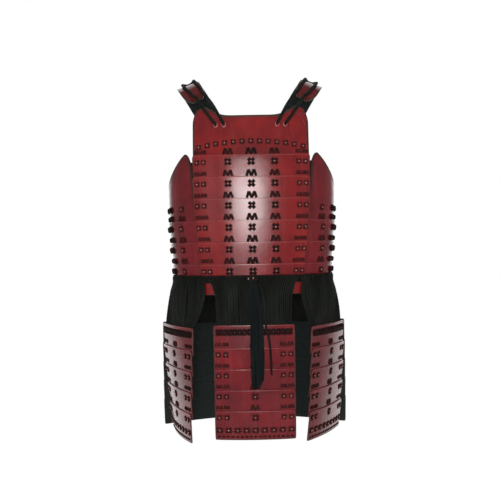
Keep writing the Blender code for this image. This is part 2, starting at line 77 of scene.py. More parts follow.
# Leather, in metres: its bare border, its rounded edges and corners, and how far its burnish and
# its painted highlight on upward rims reach in from an edge. Narrow faces are its rim, unless they
# face straight outwards.
# Outwards is away from a core line, which is wider at the shoulders and ends a little below them.
BORDER = 0.0026
BORDER_FADE = 0.0024
EDGE_ROUND = 0.0008
CORNER_ROUND = 0.0032
CORNER_TURN = 40
RIM_LIMIT = 0.0036
FLAT_ON = 0.78
HIGHLIGHT_TOP_FACES = 0.8
BURNISH = 0.0050
BURNISH_FULL = 2.1
LAME_BURNISH = 0.8
HIGHLIGHT_REACH = 0.0022
PLATE_BREADTH = 1.35
SIDE_PLATE_BREADTH = 1.7
DOUBLES = 0.00002
SHOULDERS_FROM = -0.13
SHOULDERS_HALF = 0.10
CORE_TOP = -0.15
OUTER, RIM, INNER = 0, 1, 2

# Lace motifs, in metres; a lace's profile is its height at its end, beside it and in its middle
LACE_THICK = 0.0013
LACE_PROFILE = (-0.6, 0.9, 1.0)
CROSS_LACE = 0.0074
CROSS_HALF = 0.0068
CROSS_RISES = (0.0006, 0.0014)
ZIGZAG_LACE = 0.0060
ZIGZAG_HIGH = 0.0140
ZIGZAG_FOOT = 0.021
ZIGZAG_HEAD = 0.0125
ZIGZAG_RISES = (0.0012, 0.0006)
STITCH_LACE = 0.0036
STITCH_HALF = 0.0032
STITCH_RISE = 0.0008
STUD = 0.0020
STUD_FLATNESS = 0.62
STUD_LIFT = 0.0024
SMALL_STUD = 0.9
DYED_BELOW = 0.25

# Lacing of the front and back: the columns, each with the sizes of its crosses and zigzags, and
# the row of small crosses over the chest
CROSS_BELOW_TOP = 0.0156
ZIGZAG_ABOVE_TOP = 0.008
INNER_COLUMN = 0.0515
OUTER_COLUMNS = (0.800, 0.913)
MIDDLE_SIZES = (1.0, 1.0)
INNER_SIZES = (0.95, 0.92)
OUTER_SIZES = (0.74, 0.60)
BODY_LAMES = 6
BODY_DEPTH = 0.12
CHEST_CROSSES = 13
CHEST_CROSS_SIZE = 0.76
CHEST_HALF = 0.116
CHEST_STEP = 0.01933
CHEST_HEIGHT = -0.137
CHEST_DROOP = 0.011

# Lacing of the sides: the columns' turns in degrees from the front; the foremost lies flat
SIDE_COLUMNS = (64, 77, 90, 103, 116)
SIDE_LAMES = 3
SIDE_DEPTH = 0.17
SIDE_CROSS_ABOVE_TOP = 0.0285
SIDE_SIZE = 0.85
SIDE_LACE_THICK = 2.8
SIDE_DYE = 0.9

# Middle of each tasset at its top and foot, and the way it faces there, on the armour's left;
# side -1 turns it to the right
TASSETS = [
    {"name": "front", "side": 1, "x": 0.0, "y": -0.146, "face": 0,
     "low_x": 0.0, "low_y": -0.126, "low_face": 0},
    {"name": "left", "side": 1, "x": 0.172, "y": -0.024, "face": 60,
     "low_x": 0.155, "low_y": -0.036, "low_face": 61},
    {"name": "right", "side": -1, "x": 0.176, "y": -0.022, "face": 62,
     "low_x": 0.167, "low_y": -0.033, "low_face": 72},
    {"name": "back_left", "side": 1, "x": 0.142, "y": 0.121, "face": 156,
     "low_x": 0.142, "low_y": 0.121, "low_face": 154},
    {"name": "back_right", "side": -1, "x": 0.142, "y": 0.121, "face": 156,
     "low_x": 0.142, "low_y": 0.121, "low_face": 154},
]
TASSET_WIDTH = 0.178
TASSET_LAMES = 5

# Lacing of the tassets: how far across, as shares of half the width, and how far below the top of
# the tasset or of its lame, or above the foot
BAND_CROSSES = 16
BAND_SPAN = 0.88
BAND_BELOW_TOP = 0.0150
BAND_SIZES = (0.70, 0.92, 1.4)
TASSET_COLUMNS = (-0.885, -0.70, 0.0, 0.70, 0.885)
TASSET_CROSS_BELOW = 0.0135
TASSET_ZIGZAG_ABOVE = 0.0085
TASSET_MIDDLE_SIZES = (0.95, 0.85)
TASSET_STUD = 0.85
FRONT_TASSET_DYE = 0.85
OTHER_TASSET_DYE = 0.25
FOOT_CROSSES = 9
FOOT_SPAN = 0.885
FOOT_CROSS_ABOVE = 0.0225
FOOT_SIZES = (0.95, 0.80)
FOOT_STITCHES = 17
STITCH_SPAN = 0.90
STITCH_ABOVE = 0.0075

# Steps of a cord's route between two of its given points
FINE_STEPS = 12

# Shoulder laces and the eyelets that they go into; the eyelets are pale, so that their lower
# crescents show as a painted highlight under the lace ends
SHOULDER_LACE = 0.0068
SHOULDER_LACE_POINTS = 72
EYELET = 0.0041
EYELET_WIRE = 0.0009
EYELET_SIZE = (1.0, 1.15, 0.8)
EYELET_BELOW_LACE = 0.0012
EYELET_LIFT = 0.0002

# Waist cord, and the cords of each hanger in two layers; a layer's depths are those at the top
# and at the foot, and a strand is thinner at its top
WAIST_ROUNDS = 6
WAIST_STEPS = 120
WAIST_RIPPLE = 0.0002
ON_LEATHER = 0.0003
HANGER_STRANDS = 40
HANGER_LAYERS = ((0.0008, -0.0010), (-0.0010, -0.0036))
HANGER_LAYER_STEP = 0.0025
HANGER_POINTS = 18
HANGER_CORD = (0.0048, 0.0060)
HANGER_SWAY = 0.007
HANGER_SLACK = (-0.0006, 0.0012)
HANGER_TOP = 0.0012
HANGER_OVER = 0.0031
HANGER_BELOW = 0.0058
STRAND_TOP = 0.60
STRAND_FULL_AT = 0.3

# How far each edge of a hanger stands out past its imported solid, at shares of its fall; the first
# share is where it lies over the waist cord
HANGER_FALLS = (-0.1, 0.0, 0.25, 0.50, 0.75, 1.00)
HANGER_SPREAD = {
    "front": (0.0090, -0.001, -0.005, -0.006, -0.007, -0.008),
    "fore": (0.0125, 0.0085, 0.0077, 0.0050, -0.001, -0.008),
    "aft": (0.004, 0.002, 0.0, -0.003, -0.009, -0.014),
    "beside": (0.004, 0.002, 0.0, -0.002, -0.005, -0.008),
    "middle": (0.006, 0.001, -0.003, -0.004, -0.006, -0.008),
}
HANGER_EDGES = {
    "front": ("front", "front"),
    "left": ("fore", "aft"),
    "right": ("aft", "fore"),
    "back_left": ("beside", "middle"),
    "back_right": ("middle", "beside"),
}

# Tail: the free end of the waist cord
TAIL_DIAMETER = 0.0045
TAIL_POINTS = 40
TAIL_ROUTE = [
    (0.0114, -0.1400, -0.4497),
    (0.0145, -0.1412, -0.4560),
    (0.0185, -0.1450, -0.4670),
    (0.0210, -0.1505, -0.4790),
    (0.0226, -0.1560, -0.4930),
    (0.0240, -0.1606, -0.5180),
    (0.0264, -0.1640, -0.5440),
    (0.0300, -0.1655, -0.5620),
    (0.0335, -0.1655, -0.5830),
    (0.0352, -0.1645, -0.6080),
    (0.0360, -0.1632, -0.6300),
    (0.0362, -0.1620, -0.6480),
]

# Knot: a three-lobed round of cord about a core of three rings, and two pale ends whose paleness is
# a painted highlight for two glints
KNOT_MIDDLE = (0.0, -0.1386, -0.4425)
KNOT_SIZE = (0.026, 0.014, 0.021)
KNOT_STEPS = 48
KNOT_CORD = 0.0056
KNOT_LOBE_REACH = 2.9
KNOT_INSET = (0.0025, 0.002)
KNOT_FORWARD = 0.0005
KNOT_WEAVE = 0.0036
CORE_CORD = 0.004
CORE_RINGS = 3
CORE_APART = 0.0035
CORE_SLANT = 0.00135
CORE_HALF = (0.0040, 0.0075)
KNOT_TIP = 0.0017
KNOT_TIP_SIZE = (0.85, 0.8, 1.5)
KNOT_TIPS = [(-0.0105, -0.1462, -0.4405), (0.0005, -0.1475, -0.4390)]

# Tassel: locks of fine cords that spiral loosely, and how far it stands out and aside, and how
# wide it is, at shares of its fall
TASSEL_SIZE = (0.030, 0.011, 0.235)
TASSEL_HANGS_AT = -0.1653
TASSEL_HANGS_ASIDE = 0.006
TASSEL_LOCKS = 7
TASSEL_STRANDS = 10
TASSEL_STEPS = 16
TASSEL_CORD_SIZES = (0.0021, 0.0029)
TASSEL_WAVE = 0.0016
TASSEL_SPIRAL = 2.2
LOCK_FULLNESS = 0.72
GOLDEN_ANGLE = 2.39996
TASSEL_FALLS = (0.00, 0.10, 0.24, 0.42, 0.70, 1.00)
TASSEL_OUT = (0.00, 0.30, 0.72, 1.00, 1.03, 1.02)
TASSEL_ASIDE = (0.0, 0.2, 0.6, 1.0, 1.0, 1.0)
TASSEL_WIDTH = (0.55, 0.85, 1.00, 1.00, 1.02, 0.98)


def select_only(thing):
    bpy.ops.object.select_all(action="DESELECT")
    thing.select_set(True)
    bpy.context.view_layer.objects.active = thing


def reshape(size, move=(0, 0, 0)):
    """Resizes the active piece's whole mesh, then moves it."""
    bpy.ops.object.mode_set(mode="EDIT")
    bpy.ops.mesh.select_all(action="SELECT")
    bpy.ops.transform.resize(value=size)
    bpy.ops.transform.translate(value=move)
    bpy.ops.object.mode_set(mode="OBJECT")


def face_inwards():
    """Turns the faces of the active piece to its inside."""
    bpy.ops.object.mode_set(mode="EDIT")
    bpy.ops.mesh.select_all(action="SELECT")
    bpy.ops.mesh.flip_normals()
    bpy.ops.object.mode_set(mode="OBJECT")


def add_camera():
    data = bpy.data.cameras.new("camera")
    data.lens = CAMERA_LENS
    camera = bpy.data.objects.new("camera", data)
    bpy.context.collection.objects.link(camera)
    camera.location = CAMERA_PLACE
    camera.rotation_euler = (math.radians(90), math.radians(CAMERA_ROLL), 0)
    bpy.context.scene.camera = camera


# Materials

def new_material(name):
    material = bpy.data.materials.new(name)
    material.use_nodes = True
    tree = material.node_tree
    return material, tree, tree.nodes["Principled BSDF"]


def fill(tree, socket, value):
    """Links a socket to another node's output, or sets it to a value."""
    if hasattr(value, "is_output"):
        tree.links.new(value, socket)
    else:
        socket.default_value = value


def set_inputs(tree, node, **values):
    """Fills a node's inputs, which the values name, with _ for a space."""
    for name, value in values.items():
        fill(tree, node.inputs[name.replace("_", " ")], value)


def add_node(tree, kind, **values):
    node = tree.nodes.new(kind)
    set_inputs(tree, node, **values)
    return node


def read_attribute(tree, name):
    node = tree.nodes.new("ShaderNodeAttribute")
    node.attribute_name = name
    return node.outputs["Fac"]


def colour_ramp(tree, factor, stops):
    """A colour between two stops, each a place and a colour."""
    ramp = add_node(tree, "ShaderNodeValToRGB", Fac=factor)
    for element, (place, colour) in zip(ramp.color_ramp.elements, stops):
        element.position = place
        element.color = (*colour, 1)
    return ramp.outputs["Color"]


def mix_colours(tree, factor, first, second):
    mix = tree.nodes.new("ShaderNodeMix")
    mix.data_type = "RGBA"
    fill(tree, mix.inputs[0], factor)
    for socket, colour in ((mix.inputs[6], first), (mix.inputs[7], second)):
        fill(tree, socket, (*colour, 1) if isinstance(colour, tuple) else colour)
    return mix.outputs[2]


def calculate(tree, operation, first, second, clamp=False):
    node = tree.nodes.new("ShaderNodeMath")
    node.operation = operation
    node.use_clamp = clamp
    fill(tree, node.inputs[0], first)
    fill(tree, node.inputs[1], second)
    return node.outputs[0]


def spread(tree, value, low, high):
    """A value of 0 to 1 taken to a range from low to high."""
    node = add_node(tree, "ShaderNodeMapRange", Value=value, To_Min=low, To_Max=high)
    return node.outputs["Result"]


def object_noise(tree, scale, detail=3.0, roughness=0.5, stretch=None):
    place = tree.nodes.new("ShaderNodeTexCoord").outputs["Object"]
    if stretch:
        place = add_node(tree, "ShaderNodeMapping", Vector=place, Scale=stretch).outputs["Vector"]
    node = add_node(tree, "ShaderNodeTexNoise", Vector=place, Scale=scale, Detail=detail,
                    Roughness=roughness)
    return node.outputs["Fac"]


def add_bump(tree, shader, height, strength, distance):
    bump = add_node(tree, "ShaderNodeBump", Strength=strength, Distance=distance, Height=height)
    tree.links.new(bump.outputs["Normal"], shader.inputs["Normal"])


def leather_finish(name, deep, bright, edge, scuff_and_highlight):
    """Dyed leather: mottled colour, fine grain, pale scratches, burnished dark edges, and pale
    upward rims that are a painted highlight.
    """
    material, tree, shader = new_material(name)
    mottle = object_noise(tree, 14, 4.0, 0.6)
    colour = colour_ramp(tree, mottle, [(0.32, deep), (0.68, bright)])
    speck = object_noise(tree, 420, 2.0)
    colour = mix_colours(tree, spread(tree, speck, 0.0, 0.35), colour, deep)
    scratch = object_noise(tree, 60, 5.0, 0.7, stretch=(1, 1, 0.12))
    marked = spread(tree, scratch, -0.25, 0.25)
    colour = mix_colours(tree, calculate(tree, "MAXIMUM", marked, 0.0), colour, scuff_and_highlight)

    broken = spread(tree, object_noise(tree, 90, 3.0), 0.15, 1.0)
    # Painted highlight: pale where the upward rims of lames catch light from above; the same pale
    # colour also marks real scratches.
    highlight_here = calculate(tree, "MULTIPLY", read_attribute(tree, "scuff_and_highlight"), broken, True)
    colour = mix_colours(tree, highlight_here, colour, scuff_and_highlight)
    burnt = read_attribute(tree, "burnished")
    uneven = spread(tree, object_noise(tree, 120, 3.0), -0.35, 0.35)
    burnt_here = calculate(tree, "MULTIPLY", calculate(tree, "ADD", burnt, uneven), burnt, True)
    colour = mix_colours(tree, burnt_here, colour, edge)

    gloss = spread(tree, object_noise(tree, 38, 4.0, 0.65), 0.14, 0.27)
    gloss = calculate(tree, "ADD", gloss, calculate(tree, "MULTIPLY", burnt_here, 0.2))
    set_inputs(tree, shader, Base_Color=colour, Roughness=gloss, Specular_IOR_Level=0.42,
               Coat_Weight=0.1, Coat_Roughness=0.2)
    place = tree.nodes.new("ShaderNodeTexCoord").outputs["Object"]
    grain = add_node(tree, "ShaderNodeTexVoronoi", Vector=place, Scale=620)
    waves = object_noise(tree, 45, 3.0)
    pores = calculate(tree, "MULTIPLY", grain.outputs["Distance"], 0.25)
    add_bump(tree, shader, calculate(tree, "ADD", pores, waves), 0.35, 0.0006)
    return material


def flesh_finish():
    """The dark, matt flesh side of the leather."""
    material, tree, shader = new_material("flesh_side")
    nap = object_noise(tree, 160, 5.0, 0.7)
    colour = colour_ramp(tree, nap, [(0.3, (0.007, 0.011, 0.010)), (0.75, (0.020, 0.030, 0.027))])
    set_inputs(tree, shader, Base_Color=colour, Roughness=0.8, Specular_IOR_Level=0.3)
    add_bump(tree, shader, object_noise(tree, 700, 4.0), 0.4, 0.0005)
    return material


def cord_finish(name, dark, light, pitch):
    """Twisted black cord: slanting strands along the cord, with duller fibres and painted shade in
    the grooves between strands.
    """
    material, tree, shader = new_material(name)
    turns = calculate(tree, "DIVIDE", read_attribute(tree, "along"), pitch)
    turn = calculate(tree, "ADD", turns, read_attribute(tree, "around"))
    ply = calculate(tree, "PINGPONG", calculate(tree, "MULTIPLY", turn, 3.0), 0.5)
    fibres = object_noise(tree, 900, 3.0)
    height = calculate(tree, "ADD", ply, calculate(tree, "MULTIPLY", fibres, 0.3))
    tint = object_noise(tree, 30, 4.0, 0.6, stretch=(1, 1, 0.2))
    colour = colour_ramp(tree, tint, [(0.35, dark), (0.7, light)])
    # Painted shade: darker in the grooves between the strands.
    colour = mix_colours(tree, spread(tree, ply, 0.35, -0.4), colour, (0.002, 0.003, 0.003))
    set_inputs(tree, shader, Base_Color=colour, Roughness=spread(tree, fibres, 0.55, 0.85),
               Specular_IOR_Level=0.15)
    add_bump(tree, shader, height, 0.7, 0.0009)
    return material


def lace_finish():
    """Flat woven black lace, rubbed brown in places and reddened as its "dyed" attribute says."""
    material, tree, shader = new_material("black_lace")
    rub = object_noise(tree, 130, 4.0, 0.6)
    black = colour_ramp(tree, rub, [(0.35, (0.006, 0.0025, 0.002)), (0.7, (0.028, 0.008, 0.007))])
    reddened = colour_ramp(tree, rub, [(0.35, (0.034, 0.006, 0.006)), (0.7, (0.092, 0.016, 0.016))])
    colour = mix_colours(tree, read_attribute(tree, "dyed"), black, reddened)
    set_inputs(tree, shader, Base_Color=colour, Roughness=spread(tree, rub, 0.6, 0.85),
               Specular_IOR_Level=0.1)
    add_bump(tree, shader, object_noise(tree, 1400, 2.0), 0.5, 0.0003)
    return material


def stud_finish():
    """Pale rivets, slightly tarnished; the same finish is the painted highlight on the eyelets and
    knot ends.
    """
    material, tree, shader = new_material("pale_stud_and_highlight")
    tarnish = object_noise(tree, 260, 4.0, 0.6)
    colour = colour_ramp(tree, tarnish, [(0.3, (0.30, 0.085, 0.08)), (0.7, (0.62, 0.30, 0.28))])
    set_inputs(tree, shader, Base_Color=colour, Roughness=spread(tree, tarnish, 0.45, 0.2),
               Metallic=0.3)
    add_bump(tree, shader, tarnish, 0.2, 0.0002)
    return material


# The pale colour of each leather serves real scratches and the painted highlight on upward rims.
RED_LEATHER = leather_finish(
    "red_leather", deep=(0.150, 0.009, 0.011), bright=(0.300, 0.014, 0.015),
    edge=(0.050, 0.015, 0.009), scuff_and_highlight=(0.40, 0.11, 0.10))
DEEP_LEATHER = leather_finish(
    "deep_red_leather", deep=(0.115, 0.007, 0.011), bright=(0.235, 0.011, 0.016),
    edge=(0.042, 0.012, 0.008), scuff_and_highlight=(0.36, 0.10, 0.10))
STRAP_LEATHER = leather_finish(
    "strap_leather", deep=(0.095, 0.014, 0.014), bright=(0.190, 0.030, 0.028),
    edge=(0.045, 0.014, 0.009), scuff_and_highlight=(0.36, 0.15, 0.13))
FLESH_SIDE = flesh_finish()
BLACK_CORD = cord_finish(
    "black_cord", dark=(0.005, 0.006, 0.0045), light=(0.016, 0.019, 0.014), pitch=0.011)
TASSEL_CORD = cord_finish(
    "tassel_cord", dark=(0.004, 0.006, 0.007), light=(0.010, 0.015, 0.016), pitch=0.006)
BLACK_LACE = lace_finish()
PALE_STUD_AND_HIGHLIGHT = stud_finish()


# Leather

def outward_from_body(point):
    """Roughly the way out of the armour at a point, to tell outer faces from inner ones."""
    core_x = 0.0
    if point.z > SHOULDERS_FROM:
        core_x = min(max(point.x, -SHOULDERS_HALF), SHOULDERS_HALF)
    return point - Vector((core_x, 0, min(point.z, CORE_TOP)))


def mark_leather_faces(data):
    """Marks each face as outer, rim or inner in its material number."""
    for face in data.polygons:
        corners = [data.vertices[v].co for v in face.vertices]
        sides = [(a - b).length for a, b in zip(corners, corners[1:] + corners[:1])]
        level = outward_from_body(face.center)
        level.z = 0
        flat_on = abs(face.normal.dot(level.normalized())) > FLAT_ON
        if min(sides) < RIM_LIMIT and not flat_on:
            face.material_index = RIM
        else:
            outwards = face.normal.dot(outward_from_body(face.center)) > 0
            face.material_index = OUTER if outwards else INNER


def rim_trees(data, highlight_top):
    """Search trees of the rim faces that burnish dark, and of the upward ones that get a painted
    highlight.
    """
    points = [vertex.co.copy() for vertex in data.vertices]
    dark, pale = [], []
    for face in data.polygons:
        if face.material_index == RIM:
            # Upward-facing rims are painted pale as a highlight of light from above.
            marked = highlight_top and face.normal.z > HIGHLIGHT_TOP_FACES
            (pale if marked else dark).append(tuple(face.vertices))
    return [BVHTree.FromPolygons(points, faces) if faces else None for faces in (dark, pale)]


def paint_edges(data, trees, strength, breadth):
    """Writes how near each vertex is to the piece's edges."""
    # The second row is a painted highlight on the upward rims.
    rows = (("burnished", trees[0], BURNISH * breadth), ("scuff_and_highlight", trees[1], HIGHLIGHT_REACH))
    for name, tree, reach in rows:
        layer = data.attributes.new(name, "FLOAT", "POINT")
        for vertex, value in zip(data.vertices, layer.data):
            near = 0.0
            if tree:
                near = max(0.0, 1 - tree.find_nearest(vertex.co)[3] / reach)
            if name == "burnished":
                near = min(1.0, near * BURNISH_FULL) * strength
            value.value = near


def dress_leather(name, finish, highlight_top=False, strength=1.0, breadth=1.0):
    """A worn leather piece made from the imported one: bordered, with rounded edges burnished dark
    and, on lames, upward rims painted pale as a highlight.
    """
    piece = bpy.data.objects.new(f"{name}_leather", nodes[name].data.copy())
    bpy.context.collection.objects.link(piece)
    data = piece.data
    data.materials.clear()
    for material in (finish, FLESH_SIDE, FLESH_SIDE):
        data.materials.append(material)
    select_only(piece)
    bpy.context.tool_settings.mesh_select_mode = (False, False, True)
    bpy.ops.object.mode_set(mode="EDIT")
    bpy.ops.mesh.customdata_custom_splitnormals_clear()
    bpy.ops.mesh.select_all(action="SELECT")
    bpy.ops.mesh.remove_doubles(threshold=DOUBLES)
    bpy.ops.mesh.tris_convert_to_quads(face_threshold=math.radians(30),
                                       shape_threshold=math.radians(60))
    bpy.ops.mesh.select_all(action="DESELECT")
    bpy.ops.object.mode_set(mode="OBJECT")
    mark_leather_faces(data)
    trees = rim_trees(data, highlight_top)
    bpy.context.tool_settings.mesh_select_mode = (False, True, False)
    bpy.ops.object.mode_set(mode="EDIT")
    mesh = bmesh.from_edit_mesh(data)
    for edge in mesh.edges:
        on_rim = all(face.material_index == RIM for face in edge.link_faces)
        edge.select = on_rim and edge.calc_face_angle() > math.radians(CORNER_TURN)
    bmesh.update_edit_mesh(data)
    bpy.ops.mesh.bevel(offset=CORNER_ROUND, segments=2, affect="EDGES")
    bpy.context.tool_settings.mesh_select_mode = (False, False, True)
    bpy.ops.object.mode_set(mode="OBJECT")
    for face in data.polygons:
        face.select = face.material_index == OUTER
    bpy.ops.object.mode_set(mode="EDIT")
    bpy.ops.mesh.inset(thickness=BORDER * breadth, use_even_offset=True)
    bpy.ops.mesh.inset(thickness=BORDER_FADE * breadth, use_even_offset=True)
    bpy.context.tool_settings.mesh_select_mode = (False, True, False)
    bpy.ops.mesh.select_all(action="DESELECT")
    mesh = bmesh.from_edit_mesh(data)
    for edge in mesh.edges:
        edge.select = len({face.material_index for face in edge.link_faces}) == 2
    bmesh.update_edit_mesh(data)
    bpy.ops.mesh.bevel(offset=EDGE_ROUND, segments=2, affect="EDGES")
    bpy.ops.object.mode_set(mode="OBJECT")
    smooth = piece.modifiers.new("smooth", "SUBSURF")
    smooth.levels = 2
    smooth.render_levels = 2
    bpy.ops.object.modifier_apply(modifier="smooth")
    for face in data.polygons:
        face.material_index = 1 if face.material_index == INNER else 0
    data.materials.pop()
    bpy.ops.object.shade_smooth()
    paint_edges(data, trees, strength, breadth)
    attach(piece, "root")
    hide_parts(name)
    return piece


def dress_lame(name, finish):
    return dress_leather(name, finish, highlight_top=True, strength=LAME_BURNISH)


def tree_of(pieces):
    """A search tree of several pieces' faces."""
    points, faces = [], []
    for piece in pieces:
        start = len(points)
        points += [vertex.co.copy() for vertex in piece.data.vertices]
        faces += [tuple(start + v for v in face.vertices) for face in piece.data.polygons]
    return BVHTree.FromPolygons(points, faces)


# Lacing

def seat_on(tree, point, outwards, lift=0.0, reach=0.06):
    """The matrix that seats a flat motif on leather at a point: its X across, Y up, Z outwards."""
    start = Vector(point) + Vector(outwards) * reach
    hit, normal, _, _ = tree.ray_cast(start, -Vector(outwards))
    if hit is None:
        return None
    if normal.dot(Vector(outwards)) < 0:
        normal = -normal
    up = Vector((0, 0, 1))
    up = (up - normal * up.dot(normal)).normalized()
    across = up.cross(normal)
    turn = Matrix((across, up, normal)).transposed().to_4x4()
    return Matrix.Translation(hit + normal * lift) @ turn


def lace_band(start, end, width, rise):
    """A flat lace from start to end on the leather, whose ends go down into their holes."""
    along = Vector(end) - Vector(start)
    bpy.ops.mesh.primitive_grid_add(x_subdivisions=5, y_subdivisions=1, size=1)
    band = bpy.context.active_object
    reshape((along.length, width, 1))
    ends = sorted({round(v.co.x, 6) for v in band.data.vertices})
    for vertex in band.data.vertices:
        step = ends.index(round(vertex.co.x, 6))
        step = min(step, len(ends) - 1 - step)
        vertex.co.z = rise * LACE_PROFILE[step]
    turn = Matrix.Rotation(math.atan2(along.y, along.x), 4, "Z")
    middle = (Vector(start) + Vector(end)) / 2
    band.data.transform(Matrix.Translation((middle.x, middle.y, 0)) @ turn)
    wall = band.modifiers.new("wall", "SOLIDIFY")
    wall.thickness = LACE_THICK
    wall.offset = 0
    select_only(band)
    bpy.ops.object.modifier_apply(modifier="wall")
    return band


def join_pieces(pieces, name):
    bpy.ops.object.select_all(action="DESELECT")
    for piece in pieces:
        piece.select_set(True)
    bpy.context.view_layer.objects.active = pieces[0]
    bpy.ops.object.join()
    pieces[0].name = name
    return pieces[0]


def take_mesh(thing):
    """The finished mesh of a pattern piece, which itself is removed."""
    data = thing.data
    points = [vertex.co.copy() for vertex in data.vertices]
    faces = [tuple(face.vertices) for face in data.polygons]
    bpy.data.objects.remove(thing)
    return points, faces


def make_cross():
    half = CROSS_HALF
    under = lace_band((-half, -half), (half, half), CROSS_LACE, CROSS_RISES[0])
    over = lace_band((-half, half), (half, -half), CROSS_LACE, CROSS_RISES[1])
    return take_mesh(join_pieces([under, over], "cross"))


def make_zigzag():
    """Two peaks side by side, wider at the foot than at the head."""
    foot, head, high = ZIGZAG_FOOT / 2, ZIGZAG_HEAD / 2, ZIGZAG_HIGH / 2
    stops = [(-foot, -high), (-head, high), (0, -high), (head, high), (foot, -high)]
    legs = []
    for number, (start, end) in enumerate(zip(stops, stops[1:])):
        legs.append(lace_band(start, end, ZIGZAG_LACE, ZIGZAG_RISES[number % 2]))
    return take_mesh(join_pieces(legs, "zigzag"))


def make_stitch():
    return take_mesh(lace_band((-STITCH_HALF, 0), (STITCH_HALF, 0), STITCH_LACE, STITCH_RISE))


def make_stud():
    """A low domed rivet with a rounded rim."""
    bpy.ops.mesh.primitive_uv_sphere_add(segments=10, ring_count=6, radius=STUD)
    reshape((1, 1, STUD_FLATNESS), (0, 0, STUD_LIFT))
    return take_mesh(bpy.context.active_object)


def copy_motifs(name, motif, seats, finish):
    """One piece of many copies of a motif, each at its own seat and with its own dye."""
    points, faces, dyes = [], [], []
    for seat, dyed in seats:
        start = len(points)
        points += [seat @ point for point in motif[0]]
        faces += [tuple(start + v for v in face) for face in motif[1]]
        dyes += [dyed] * len(motif[0])
    data = bpy.data.meshes.new(name)
    data.from_pydata(points, [], faces)
    data.attributes.new("dyed", "FLOAT", "POINT").data.foreach_set("value", dyes)
    data.materials.append(finish)
    data.shade_smooth()
    data.set_sharp_from_angle(angle=math.radians(50))
    piece = bpy.data.objects.new(name, data)
    bpy.context.collection.objects.link(piece)
    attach(piece, "root")
    return piece


class Lacing:
    """Collects the seats of one group's motifs, then makes them all."""

    def __init__(self, name, tree):
        self.name = name
        self.tree = tree
        self.seats = {"cross": [], "zigzag": [], "stitch": [], "stud": []}

    def add(self, kind, point, outwards, wide=1.0, tall=None, thick=1.0, stud_size=1.0, dyed=None):
        """Seats a motif, with a stud if it is a cross; small ones are dyed unless dyed says so."""
        seat = seat_on(self.tree, point, outwards)
        if seat is None:
            return
        if dyed is None:
            dyed = min(max((1 - wide) / DYED_BELOW, 0), 1)
        self.seats[kind].append((seat @ Matrix.Diagonal((wide, tall or wide, thick, 1)), dyed))
        if kind == "cross" and stud_size:
            self.seats["stud"].append((seat @ Matrix.Scale(stud_size, 4), 0.0))

    def make(self, motifs):
        for kind, seats in self.seats.items():
            if seats:
                finish, slot = (PALE_STUD_AND_HIGHLIGHT, "stud") if kind == "stud" else (BLACK_LACE, "lace")
                copy_motifs(f"{self.name}_{kind}", motifs[kind], seats, finish)


def top_of(name):
    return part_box(name)[1].z


def lace_body_side(lacing, name, facing):
    """The columns of crosses and zigzags down the front or the back."""
    outwards = Vector((0, facing, 0))
    y = BODY_DEPTH * facing
    for number in range(1, BODY_LAMES + 1):
        lame = f"{name}_lame_{number}"
        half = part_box(lame)[1].x
        cross_z = top_of(lame) - CROSS_BELOW_TOP
        zigzag_z = top_of(lame) + ZIGZAG_ABOVE_TOP
        columns = [(0.0, *MIDDLE_SIZES), (INNER_COLUMN, *INNER_SIZES)]
        columns += [(share * half, *OUTER_SIZES) for share in OUTER_COLUMNS]
        for x, cross_size, zigzag_size in columns:
            for side in ((1, -1) if x else (1,)):
                lacing.add("cross", (side * x, y, cross_z), outwards, cross_size)
                lacing.add("zigzag", (side * x, y, zigzag_z), outwards, zigzag_size)


def lace_chest(lacing):
    """The row of small crosses over the chest, lower towards its ends."""
    for step in range(CHEST_CROSSES):
        x = -CHEST_HALF + step * CHEST_STEP
        z = CHEST_HEIGHT - CHEST_DROOP * (x / CHEST_HALF) ** 2
        lacing.add("cross", (x, -BODY_DEPTH, z), Vector((0, -1, 0)), CHEST_CROSS_SIZE,
                   stud_size=SMALL_STUD)


def lace_side(lacing, name, side):
    """The columns round one side, under the arm."""
    tops = [top_of(f"{name}_side_lame_{number}") for number in range(1, SIDE_LAMES + 1)]
    rows = [("cross", tops[0] + SIDE_CROSS_ABOVE_TOP)]
    for top in tops:
        rows += [("zigzag", top + ZIGZAG_ABOVE_TOP), ("cross", top - CROSS_BELOW_TOP)]
    for angle in SIDE_COLUMNS:
        turn = math.radians(angle)
        outwards = Vector((side * math.sin(turn), -math.cos(turn), 0))
        if angle == SIDE_COLUMNS[0]:
            looks = {"thick": 1.0, "stud_size": SMALL_STUD, "dyed": SIDE_DYE}
        else:
            looks = {"thick": SIDE_LACE_THICK, "stud_size": 0, "dyed": 0.0}
        for kind, z in rows:
            point = outwards * SIDE_DEPTH + Vector((0, 0, z))
            lacing.add(kind, point, outwards, SIDE_SIZE, **looks)


def tasset_height(name):
    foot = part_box(f"tasset_{name}_lame_{TASSET_LAMES}")[0].z
    return top_of(f"tasset_{name}_lame_1") - foot


def tasset_spot(row, across, below):
    """A point on a tasset, across -1 to 1 and so far below its top, and the way it faces there."""
    name, side = row["name"], row["side"]
    share = below / tasset_height(name)
    face = side * math.radians(row["face"] + share * (row["low_face"] - row["face"]))
    x = side * (row["x"] + share * (row["low_x"] - row["x"]))
    y = row["y"] + share * (row["low_y"] - row["y"])
    sideways = Vector((math.cos(face), math.sin(face), 0))
    outwards = Vector((math.sin(face), -math.cos(face), 0))
    z = top_of(f"tasset_{name}_lame_1") - below
    return Vector((x, y, z)) + sideways * (across * TASSET_WIDTH / 2), outwards


def evenly(count, span):
    """Places spread evenly from -span to span."""
    return [(step / (count - 1) * 2 - 1) * span for step in range(count)]


